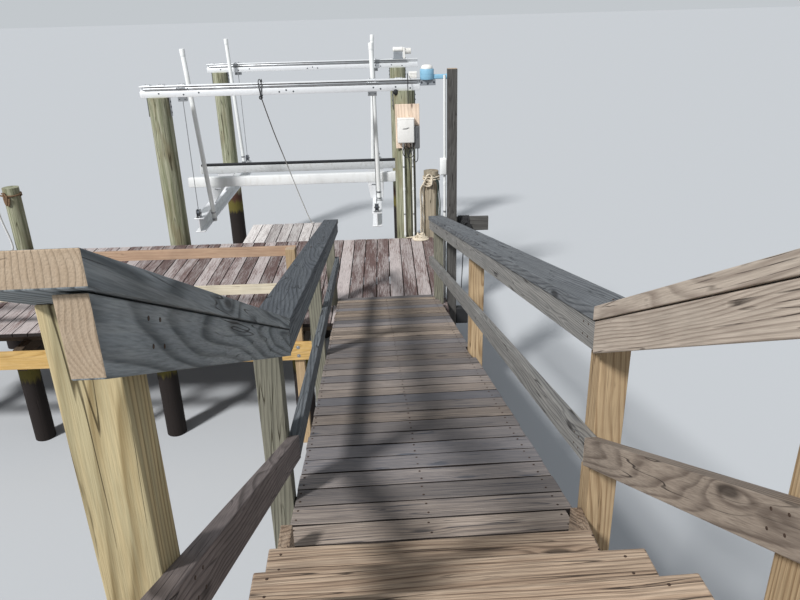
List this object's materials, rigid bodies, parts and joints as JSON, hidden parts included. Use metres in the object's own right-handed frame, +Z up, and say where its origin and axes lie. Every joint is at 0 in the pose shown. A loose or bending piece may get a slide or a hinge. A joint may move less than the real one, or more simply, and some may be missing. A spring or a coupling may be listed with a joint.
{
  "type": "jetty",
  "caption": "Wooden jetty on piles with a sloping ramp, steps, railings and a fence, and a boat lift whose cradle is raised and lowered between tall piles.",
  "frame": {"origin": "centre of the foot of the lift's near right pile, at the low water line", "axes": "+X to the right along the shore, +Y out over the water, +Z up"},
  "size_m": [6.415, 12.3021, 3.9191],
  "materials": {
    "deck_wood": "weathered boards with peeling stain",
    "ramp_wood": "weathered grey boards",
    "rail_wood": "weathered grey timber",
    "post_wood": "treated pine",
    "fresh_wood": "fresh sawn pine",
    "frame_wood": "dark rough sawn pine",
    "pile_wood": "treated round timber",
    "plywood": "plywood",
    "aluminium": "mill finish",
    "steel": "galvanised",
    "white_plastic": "white moulding",
    "blue_plastic": "light blue cover",
    "black_plastic": "black",
    "rope": "laid rope",
    "black_rope": "black rope"
  },
  "bodies": {
    "dock": {"deck_boards": "deck_wood", "deck_joists": "frame_wood", "deck_caps": "frame_wood", "deck_piles": "frame_wood", "far_waler": "frame_wood", "finger_boards": "deck_wood", "finger_frame": "frame_wood", "ramp_boards": "ramp_wood", "ramp_stringers": "frame_wood", "stair_treads": "ramp_wood", "stair_stringers": "frame_wood", "left_posts": "post_wood", "right_posts": "post_wood", "left_caps": "rail_wood", "right_caps": "rail_wood", "left_rails": "rail_wood", "right_rails": "rail_wood", "fence_posts": "post_wood", "fence_rails": "fresh_wood", "lower_waler": "fresh_wood", "tall_post": "rail_wood", "cross_arm": "rail_wood", "conduits": "white_plastic", "post_block": "black_plastic", "rope_pile": "pile_wood", "mooring_pile": "pile_wood", "mooring_rope": "rope", "arm_rope": "black_rope", "lift_piles": "pile_wood", "pile_brackets": "steel", "near_beam": "aluminium", "far_beam": "aluminium", "winder_pipes": "aluminium", "near_drive": "blue_plastic", "far_drive": "white_plastic", "control_board": "plywood", "control_boxes": "white_plastic", "dock_line": "black_rope", "lift_cables": "steel"},
    "cradle": {"cross_beams": "aluminium", "sheave_blocks": "steel", "bunk_brackets": "aluminium", "near_bunk": "aluminium", "far_bunk": "aluminium", "guide_posts": "white_plastic"}
  },
  "joints": [
    {"name": "cradle_lift", "type": "slide", "parent": "dock", "child": "cradle", "axis": [0, 0, 1], "range_m": [-1.3, 0.95], "deforming": ["lift_cables"]}
  ]
}
